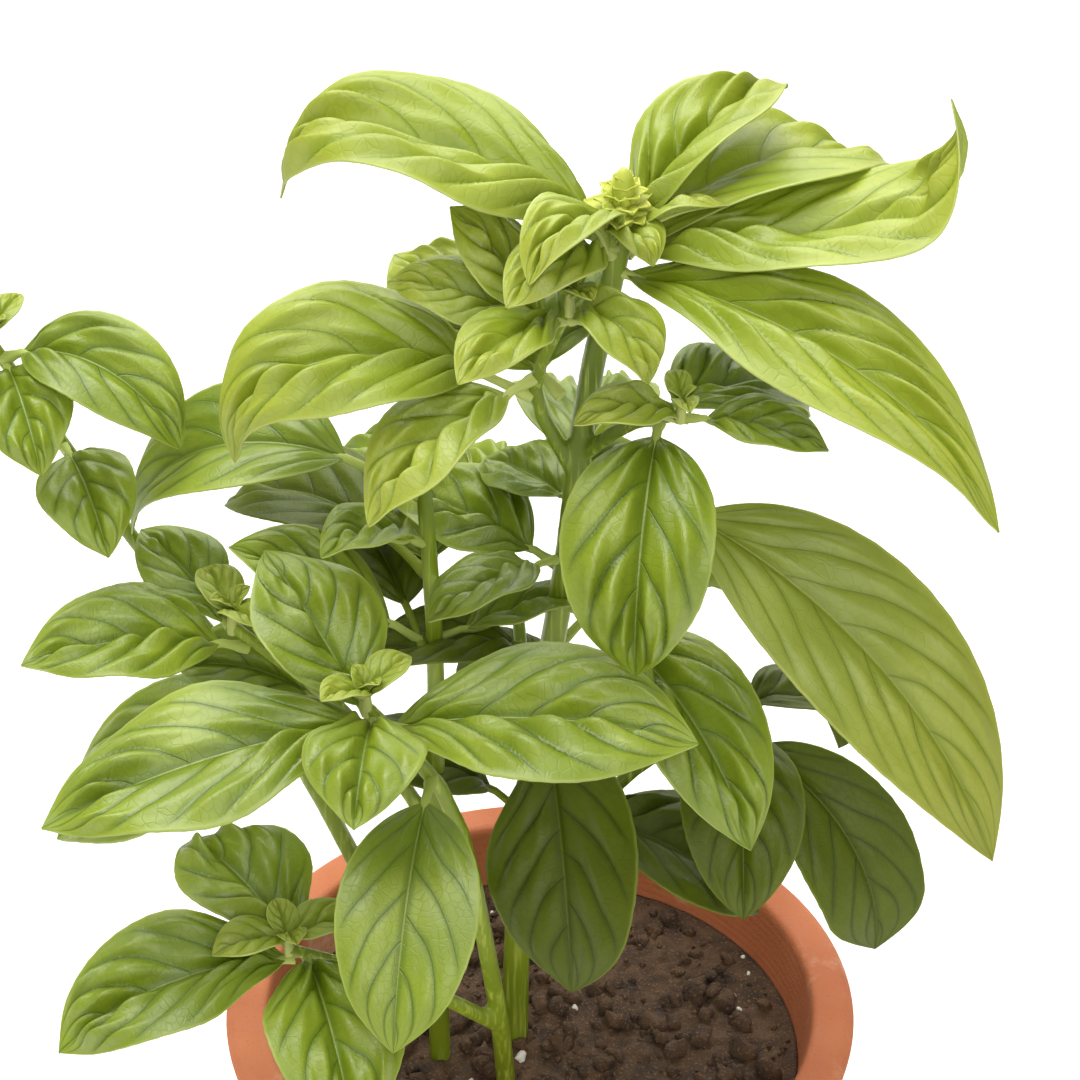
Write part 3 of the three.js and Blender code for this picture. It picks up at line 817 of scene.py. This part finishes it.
# name: shape of, joint of, how far beyond it, heading, rise, length, slot
FILLERS = {
    "crown_under_leaf": ("crown_shoot_left_leaf", "crown_shoot_left_leaf", 0, 167, 15, 33, "leaf_young"),
    "crown_folded_leaf": ("crown_shoot_front_leaf", "crown_curled_leaf", 0, 229, 1, 32, "leaf_young"),
    "crown_inner_right_leaf": ("crown_shoot_left_leaf", "crown_back_leaf", 4, 353, 24, 24, "leaf_young"),
    "crown_inner_front_leaf": ("crown_shoot_right_leaf", "crown_back_leaf", 5, 300, 5, 14, "leaf_young"),
    "upper_left_back_leaf": ("middle_left_leaf", "upper_left_leaf", 7, 133, 12, 52, "leaf_young"),
    "middle_back_left_leaf": ("middle_left_leaf", "back_high_leaf", 0, 132, -6, 30, "leaf"),
    "middle_right_leaf": ("back_high_leaf", "middle_left_leaf", 7, 24, -30, 50, "leaf"),
    "low_right_back_leaf": ("low_right_front_leaf", "low_right_front_leaf", 3, 30, -37, 38, "leaf_shade"),
    "under_left_leaf": ("mid_left_outer_leaf", "mid_left_lower_leaf", 0, 181, -30, 73, "leaf"),
    "far_left_low_leaf": ("far_left_front_leaf", "far_left_outer_leaf", 3, 290, -20, 32, "leaf"),
    "right_shoot_left_leaf": ("crown_shoot_front_leaf", "right_shoot_right_leaf", 3, 206, 12, 25, "leaf_young"),
    "inner_left_leaf": ("left_inner_leaf", "left_inner_leaf", 4, 20, 5, 40, "leaf"),
    "inner_back_leaf": ("back_middle_leaf", "left_inner_leaf", 0, 110, 0, 46, "leaf_shade"),
    "inner_right_leaf": ("back_middle_leaf", "back_middle_leaf", 5, 200, 10, 44, "leaf_shade"),
    "inner_low_leaf": ("shaded_right_leaf", "shaded_right_leaf", 6, 190, 25, 46, "leaf_shade"),
    "inner_low_back_leaf": ("back_middle_leaf", "shaded_right_leaf", 3, 100, 20, 52, "leaf_shade"),
    "behind_crown_leaf": ("middle_left_leaf", "upper_front_leaf", 3, 60, 30, 30, "leaf"),
}

for seed, (name, (shape, joint, beyond, heading, rise, length, slot)) in enumerate(FILLERS.items()):
    rings = aimed(leaf_sections[shape], joint_of(joint, beyond * MM), heading, rise, length * MM)
    leaf_from(name, rings, slot, PUFF[slot], 200 + seed, stalkless=length < 30)
print("leaves without a solid:", len(FILLERS))

# %% [markdown]
# ## The young pairs
#
# Every shoot ends in two small opposite leaves that still join at the bud, and between them stands
# the next pair, still half closed. The solid is one tube from tip to tip, so each half of its rings
# is one leaf. The next pair is made of the same two blades, shrunk, turned a quarter about the shoot,
# as each pair of basil leaves is, and stood up. A short length of shoot joins them to the stem.


# %% Grow the pairs
stem_points = np.concatenate([points_of(nodes[name].data) for name in stem_nodes])


def grow_pair(node, seed):
    """A finished young pair from the rings of its solid."""
    chance = np.random.RandomState(seed)
    slot = slot_of[node]
    rings = pair_sections[node]
    bud_ring = len(rings) // 2
    bud = (rings[bud_ring][2] + rings[bud_ring][6]) / 2
    distances = np.linalg.norm(stem_points - bud, axis=1)
    shoot_end = stem_points[distances < distances.min() + 2 * MM].mean(axis=0)
    down = (shoot_end - bud) / np.linalg.norm(shoot_end - bud)
    halfway = 0.6 * bud + 0.4 * shoot_end
    shoot_path = [shoot_end + 2 * MM * down, shoot_end, halfway, bud, bud - 1.2 * MM * down]
    shoot = round_tube(f"{node}_shoot", shoot_path, [1.2 * MM, 1.2 * MM, 1.0 * MM, 0.8 * MM, 0.3 * MM])
    dress_below(shoot, slot)
    pieces = [shoot]
    halves = [rings[bud_ring:], [np.roll(ring[::-1], 1, axis=0) for ring in rings[bud_ring::-1]]]
    for number, half in enumerate(halves):
        blade, points, upper, along, long = blade_over(f"{node}_blade_{number}", half, slot, 0.8, chance)
        pieces.append(blade)
        pieces.append(rib_tube(f"{node}_rib_{number}", [], points, upper, along, slot, scale=0.5))
        outward = half[-1].mean(axis=0) - bud
        lean = Matrix.Rotation(math.radians(30), 4, Vector(outward).cross(Vector((0, 0, 1))).normalized())
        quarter = Matrix.Rotation(math.radians(90), 4, "Z")
        centre = Matrix.Translation(Vector(bud))
        inner = copied(blade, f"{node}_inner_{number}")
        inner.data.transform(centre @ quarter @ lean @ Matrix.Scale(0.55, 4) @ centre.inverted())
        pieces.append(inner)
    pair = joined(node.replace("_tip", "_young_pair"), *pieces)
    pair.data.name = pair.name
    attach(pair, "root")
    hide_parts(node)
    return pair


pairs = {node: grow_pair(node, 300 + i) for i, node in enumerate(pair_nodes)}
for master in (large_master, small_master):
    bpy.data.objects.remove(master)
print("young pairs:", len(pairs))

# %% [markdown]
# ## The stems
#
# Basil stems are nearly square, with soft corners, and swell a little where leaves sit. The solids
# already have the route, the thickness and the square section, with facets. A copy of each is
# remeshed finely, so that side shoots flow into their stem, and then relaxed until the facets are
# gone.

# %% Round off the stems
stems = {}
for node in stem_nodes:
    stem = copied(nodes[node], node.replace("_stem", "") + "_green_stem")
    stem.parent = None
    pick(stem)
    bpy.ops.object.mode_set(mode="EDIT")
    bpy.ops.mesh.select_all(action="SELECT")
    bpy.ops.mesh.remove_doubles(threshold=2e-6)
    bpy.ops.object.mode_set(mode="OBJECT")
    finish_with(stem, "REMESH", mode="VOXEL", voxel_size=0.55 * MM)
    finish_with(stem, "SMOOTH", factor=0.6, iterations=14)
    smooth(stem)
    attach(stem, "root")
    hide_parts(node)
    stems[node] = stem
    print(node, len(stem.data.polygons), "faces")

# %% [markdown]
# ## The flower head
#
# The main stem ends in a short spike of flower buds that hasn't opened yet. It is a stack of whorls
# of small cupped bracts, the lowest the widest, with round buds between them. One bract and one bud
# are modelled and copied round the spike.

# %% One bract
pick(camera)
bpy.ops.mesh.primitive_grid_add(x_subdivisions=10, y_subdivisions=8, size=1)
bract = bpy.context.object
bract.name = "bract"
points = points_of(bract.data)
u, v = points[:, 0] + 0.5, points[:, 1] * 2
points[:, 0] = 0.1 * u + 0.5 * u**2  # leans out towards its point
points[:, 1] = 0.42 * outline(np.clip(u, 0.02, 0.98)) * v
points[:, 2] = u - 0.3 * u**2 + 0.14 * v**2
set_points(bract.data, points)
finish_with(bract, "SOLIDIFY", thickness=0.06, offset=0)

# %% One bud
bpy.ops.object.select_all(action="DESELECT")
bpy.ops.mesh.primitive_uv_sphere_add(segments=12, ring_count=8, radius=0.5, location=(0, 0, 0))
bud = bpy.context.object
bud.name = "bud"
points = points_of(bud.data)
points[:, 2] = 1.35 * points[:, 2] + 0.5
points[:, :2] *= (1 - 0.45 * points[:, 2:] ** 2)
points[:, 0] += 0.25 * points[:, 2]
set_points(bud.data, points)

# %% Whorls of bracts and buds round the spike
WHORLS = 5
PER_WHORL = 7
head_low, head_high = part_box("flower_head")
head_middle = (head_low + head_high) / 2
head_tall = head_high.z - head_low.z
chance = np.random.RandomState(11)


def in_whorl(source, name, whorl, place, size, lean, out):
    """A copy of a bract or bud at its place in a whorl."""
    share = whorl / (WHORLS - 1)
    one = copied(source, name)
    turn = 2 * math.pi * (place + 0.5 * (whorl % 2) + chance.uniform(-0.12, 0.12)) / PER_WHORL
    foot = (head_middle.x, head_middle.y, head_low.z + (0.02 + 0.62 * share) * head_tall)
    leaned = Matrix.Rotation(math.radians(lean), 4, "Y") @ Matrix.Scale(size * chance.uniform(0.85, 1.15), 4)
    turned_out = Matrix.Rotation(turn, 4, "Z") @ Matrix.Translation((out, 0, 0))
    one.data.transform(Matrix.Translation(foot) @ turned_out @ leaned)
    return one


parts = []
for whorl in range(WHORLS):
    share = whorl / (WHORLS - 1)
    for place in range(PER_WHORL):
        label = f"{whorl}_{place}"
        out = (2.0 - 1.5 * share) * MM
        bract_size, bud_size = (6.2 - 3.4 * share) * MM, (3.4 - 1.5 * share) * MM
        parts.append(in_whorl(bract, "bract_" + label, whorl, place, bract_size, 34 - 40 * share, out))
        parts.append(in_whorl(bud, "bud_" + label, whorl, place + 0.5, bud_size, 42 - 40 * share, out))
for source in (bract, bud):
    bpy.data.objects.remove(source)
bpy.ops.object.select_all(action="DESELECT")
bpy.ops.mesh.primitive_uv_sphere_add(segments=24, ring_count=16, radius=1, location=(0, 0, 0))
core = bpy.context.object
core_points = points_of(core.data) * np.array([2.4, 2.4, 0.5 * head_tall / MM]) * MM
set_points(core.data, core_points + np.array(head_middle))
head = joined("flower_buds", *parts, core)
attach(head, "root")
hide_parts("flower_head")
print("bracts and buds:", len(parts))

# %% [markdown]
# ## The pot
#
# A plain clay pot is turned on a wheel: straight walls that widen upwards, a thicker band below the
# rim, and soft worn edges. Its profile is read from the solid, its corners are rounded with a vertex
# bevel, and it is spun into a full turn. The drain holes are then cut from the floor.

# %% Read the profile from the solid
pot_points = points_of(nodes["pot"].data)
pot_heights = pot_points[:, 2].round(6)
pot_radii = np.hypot(pot_points[:, 0], pot_points[:, 1])
levels = sorted(set(pot_heights))


def widest_at(z):
    """The pot's outer radius at one of its levels."""
    return pot_radii[pot_heights == z].max()


foot_z, floor_z, band_foot_z, band_z, rim_side_z, lip_z, rim_z = levels
rim_inner = pot_radii[pot_heights == rim_z].min()
outside = [(widest_at(z), z) for z in (foot_z, band_foot_z, band_z, rim_side_z, rim_z)]
inside = [(rim_inner, rim_z), (widest_at(lip_z), lip_z), (widest_at(floor_z), floor_z)]
profile = [(0, foot_z), *outside, *inside, (0, floor_z)]
print("pot levels in mm:", [round(float(z) / MM, 1) for z in levels])

# %% Round its corners and spin it
pot_mesh = bpy.data.meshes.new("clay_pot")
pot_mesh.from_pydata([(r, 0, z) for r, z in profile], [(i, i + 1) for i in range(len(profile) - 1)], [])
pot = bpy.data.objects.new("clay_pot", pot_mesh)
bpy.context.collection.objects.link(pot)
pick(pot)
bpy.ops.object.mode_set(mode="EDIT")
edit = bmesh.from_edit_mesh(pot_mesh)
for point in edit.verts:
    point.select_set(point.co.x > 1e-6)
bpy.ops.mesh.bevel(offset=0.9 * MM, segments=4, affect="VERTICES", clamp_overlap=True)
bpy.ops.mesh.select_all(action="SELECT")
bpy.ops.mesh.spin(steps=144, angle=2 * math.pi, center=(0, 0, 0), axis=(0, 0, 1))
bpy.ops.mesh.select_all(action="SELECT")
bpy.ops.mesh.remove_doubles(threshold=1e-5)
bpy.ops.mesh.normals_make_consistent(inside=False)
bpy.ops.object.mode_set(mode="OBJECT")
print("pot:", len(pot_mesh.polygons), "faces")

# %% Drill the drain holes
inside_foot = (pot_radii < 0.7 * widest_at(foot_z)) & (pot_radii > 1e-4)
hole_points = pot_points[(pot_heights == foot_z) & inside_foot]
hole_reach = np.hypot(hole_points[:, 0], hole_points[:, 1])
hole_middle_radius = (hole_reach.max() + hole_reach.min()) / 2
hole_radius = (hole_reach.max() - hole_reach.min()) / 2
HOLES = 3
for number in range(HOLES):
    angle = math.pi / 2 + number * 2 * math.pi / HOLES
    place = (hole_middle_radius * math.cos(angle), hole_middle_radius * math.sin(angle), floor_z / 2)
    bpy.ops.object.select_all(action="DESELECT")
    bpy.ops.mesh.primitive_cylinder_add(vertices=32, radius=hole_radius, depth=4 * floor_z, location=place)
    drill = bpy.context.object
    finish_with(pot, "BOOLEAN", object=drill, operation="DIFFERENCE", solver="EXACT")
    bpy.data.objects.remove(drill)
pick(pot)
bpy.ops.object.shade_smooth_by_angle(angle=math.radians(35))
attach(pot, "root")
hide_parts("pot")
print(f"drain holes of radius {hole_radius / MM:.1f} mm, {hole_middle_radius / MM:.0f} mm from the middle")

# %% [markdown]
# ## The soil
#
# Potting soil is a mass of crumbs of many sizes. The body is a disc of fine grid, roughened in two
# sizes of noise and drawn down to the bottom of the pot. On it lie several hundred loose crumbs, and
# a few white grains of perlite, each a small rough ball pressed into the surface.

# %% The body of the soil
soil_low, soil_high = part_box("soil")
soil_points = points_of(nodes["soil"].data)
soil_radii = np.hypot(soil_points[:, 0], soil_points[:, 1])
edge_radius = soil_radii.max()
edge_height = soil_points[soil_radii > edge_radius - 0.2 * MM][:, 2].max()
bottom_radius = soil_radii[soil_points[:, 2] < soil_low.z + 0.1 * MM].max()


def soil_height(x, y):
    """The soil's surface: heaped a little round the stems, and crumbly."""
    radius = math.hypot(x, y) / edge_radius
    heap = edge_height + (soil_high.z - edge_height) * (1 - radius**2)
    crumbs = 1.9 * abs(noise.fractal(Vector((x, y, 0)) * 150, 0.9, 2.1, 4))
    lumps = 0.9 * noise.noise(Vector((x, y, 5)) * 60)
    return heap + (crumbs + lumps - 1.2) * MM * min(1, 6 * (1.02 - radius))


bpy.ops.object.select_all(action="DESELECT")
bpy.ops.mesh.primitive_grid_add(x_subdivisions=150, y_subdivisions=150, size=2)
soil = bpy.context.object
soil.name = "potting_soil"
square = points_of(soil.data)
reach = np.maximum(np.abs(square[:, 0]), np.abs(square[:, 1]))
round_off = reach / np.maximum(np.hypot(square[:, 0], square[:, 1]), 1e-9)
disc = square * round_off[:, None] * edge_radius
disc[:, 2] = [soil_height(x, y) for x, y in disc[:, :2]]
set_points(soil.data, disc)
pick(soil)
bpy.ops.object.mode_set(mode="EDIT")
bpy.ops.mesh.select_all(action="SELECT")
bpy.ops.mesh.region_to_loop()
bpy.ops.mesh.extrude_edges_move()
bpy.ops.object.mode_set(mode="OBJECT")
lower = points_of(soil.data)
rim_count = len(lower) - len(disc)
lower[-rim_count:, 2] = soil_low.z
lower[-rim_count:, :2] *= bottom_radius / edge_radius
set_points(soil.data, lower)
bpy.ops.object.mode_set(mode="EDIT")
bpy.ops.mesh.edge_face_add()
bpy.ops.mesh.select_all(action="SELECT")
bpy.ops.mesh.normals_make_consistent(inside=False)
bpy.ops.object.mode_set(mode="OBJECT")
print("soil:", len(soil.data.polygons), "faces, surface radius", round(edge_radius / MM, 1), "mm")

# %% Loose crumbs and perlite
CRUMB_COUNT = 800
PERLITE_COUNT = 34
chance = np.random.RandomState(7)
bpy.ops.object.select_all(action="DESELECT")
bpy.ops.mesh.primitive_ico_sphere_add(subdivisions=2, radius=1, location=(0, 0, 0))
crumb = bpy.context.object
crumb_shape = points_of(crumb.data)
crumb_shape *= np.array([[0.75 + 0.6 * noise.noise(Vector(point) * 1.3)] for point in crumb_shape])
set_points(crumb.data, crumb_shape)


def scatter(name, count, smallest, largest):
    """Copies of the crumb, pressed a little into the soil."""
    grains = []
    for number in range(count):
        size = (smallest + (largest - smallest) * chance.uniform() ** 3) * MM
        radius = (edge_radius - size - 1 * MM) * math.sqrt(chance.uniform())
        angle = chance.uniform(0, 2 * math.pi)
        x, y = radius * math.cos(angle), radius * math.sin(angle)
        turn = Matrix.Rotation(chance.uniform(0, 6), 4, Vector(chance.uniform(-1, 1, 3)))
        stretch = Matrix.Diagonal((*(size * chance.uniform(0.6, 1.2, 3)), 1))
        place = Matrix.Translation((x, y, soil_height(x, y) + 0.15 * size))
        grain = copied(crumb, f"{name}_{number}")
        grain.data.transform(place @ turn @ stretch)
        grains.append(grain)
    heap = joined(name, *grains)
    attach(heap, "root")
    return heap


crumbs = scatter("soil_crumbs", CRUMB_COUNT, 0.7, 4.2)
perlite = scatter("perlite_grains", PERLITE_COUNT, 0.7, 1.8)
bpy.data.objects.remove(crumb)
smooth(soil)
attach(soil, "root")
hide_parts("soil")

# %% [markdown]
# ## Stems, buds, clay and soil
#
# The stems are a smooth olive green, streaked along their length. The bracts are a pale yellow-green.
# Terracotta is matt and slightly gritty, uneven in tone, with a pale bloom of lime. Moist soil is
# dark brown, with no gloss.

# %% The stems
material, tree, skin, output = new_material("stem")
place = add(tree, "TexCoord").outputs["Object"]
along = add(tree, "Mapping", {"Vector": place, "Scale": (1, 1, 0.06)}).outputs[0]
streaks = add(tree, "TexNoise", {"Vector": along, "Scale": 900.0, "Detail": 3.0}).outputs["Fac"]
tone = add(tree, "Group", {"Scale": 25.0, "Contrast": 1.8}, node_tree=tone_group).outputs
green = blend(tree, tone["Broad"], seen(86, 106, 0), seen(138, 156, 34))
green = blend(tree, fade(tree, streaks, 0.5, 0.75), green, seen(164, 178, 70))
fill(tree, skin, {"Base Color": green, "Roughness": 0.45, "Subsurface Weight": 0.15})
fill(tree, skin, {"Subsurface Radius": (0.6, 1.0, 0.2), "Subsurface Scale": 1.5 * MM})
roughened(tree, skin, streaks, 0.35, 0.2 * MM)
for piece in stems.values():
    dress(piece, material)

# %% The flower buds
material, tree, skin, output = new_material("bud")
tone = add(tree, "Group", {"Scale": 220.0, "Contrast": 1.8}, node_tree=tone_group).outputs
yellow = blend(tree, tone["Broad"], seen(172, 186, 54), seen(222, 224, 112))
fill(tree, skin, {"Base Color": yellow, "Roughness": 0.5})
roughened(tree, skin, tone["Fine"], 0.4, 0.2 * MM)
glow = add(tree, "BsdfTranslucent", {"Color": seen(214, 222, 110)})
sheet = add(tree, "MixShader", {0: 0.22, 1: skin.outputs[0], 2: glow.outputs[0]})
tree.links.new(sheet.outputs[0], output.inputs["Surface"])
dress(head, material)

# %% The clay
material, tree, skin, output = new_material("terracotta")
place = add(tree, "TexCoord").outputs["Object"]
tone = add(tree, "Group", {"Scale": 28.0, "Contrast": 1.7}, node_tree=tone_group).outputs
clay = blend(tree, tone["Broad"], seen(166, 88, 52), seen(202, 124, 82))
speckle = add(tree, "TexNoise", {"Vector": place, "Scale": 1400.0, "Detail": 2.0}).outputs["Fac"]
clay = blend(tree, fade(tree, speckle, 0.62, 0.75, 0.0, 0.35), clay, seen(120, 62, 38))
bloom = {"Vector": place, "Scale": 42.0, "Detail": 6.0, "Roughness": 0.65}
lime = add(tree, "TexNoise", bloom).outputs["Fac"]
clay = blend(tree, fade(tree, lime, 0.56, 0.74, 0.0, 0.5), clay, seen(222, 196, 172))
dulled = calc(tree, "MULTIPLY_ADD", tone["Fine"], 0.2, 0.72)
fill(tree, skin, {"Base Color": clay, "Roughness": dulled})
turned = {"Vector": place, "Scale": 160.0, "Distortion": 1.2, "Detail": 2.0}
rings = add(tree, "TexWave", turned, bands_direction="Z")
grit = calc(tree, "MULTIPLY_ADD", rings.outputs["Fac"], 0.3, speckle)
roughened(tree, skin, grit, 0.5, 0.3 * MM)
dress(pot, material)

# %% The soil and the perlite
material, tree, skin, output = new_material("soil")
tone = add(tree, "Group", {"Scale": 160.0, "Contrast": 2.0}, node_tree=tone_group).outputs
earth = blend(tree, tone["Broad"], seen(46, 32, 22), seen(96, 70, 48))
earth = blend(tree, fade(tree, tone["Fine"], 0.62, 0.85), earth, seen(112, 84, 58))
fill(tree, skin, {"Base Color": earth, "Roughness": 0.92})
roughened(tree, skin, tone["Fine"], 0.8, 0.5 * MM)
dress(soil, material)
dress(crumbs, material)

material, tree, skin, output = new_material("perlite")
tone = add(tree, "Group", {"Scale": 500.0, "Contrast": 1.5}, node_tree=tone_group).outputs
white = blend(tree, tone["Broad"], seen(190, 184, 172), seen(232, 230, 224))
fill(tree, skin, {"Base Color": white, "Roughness": 0.9})
dress(perlite, material)

# %% The floor
material, tree, skin, output = new_material("pale_floor")
fill(tree, skin, {"Base Color": (0.86, 0.86, 0.86, 1), "Roughness": 0.9})
dress(floor, material)

# %% Print the frame's box
print("CAD box", [round(v, 4) for v in (*cad_low, *cad_high)])
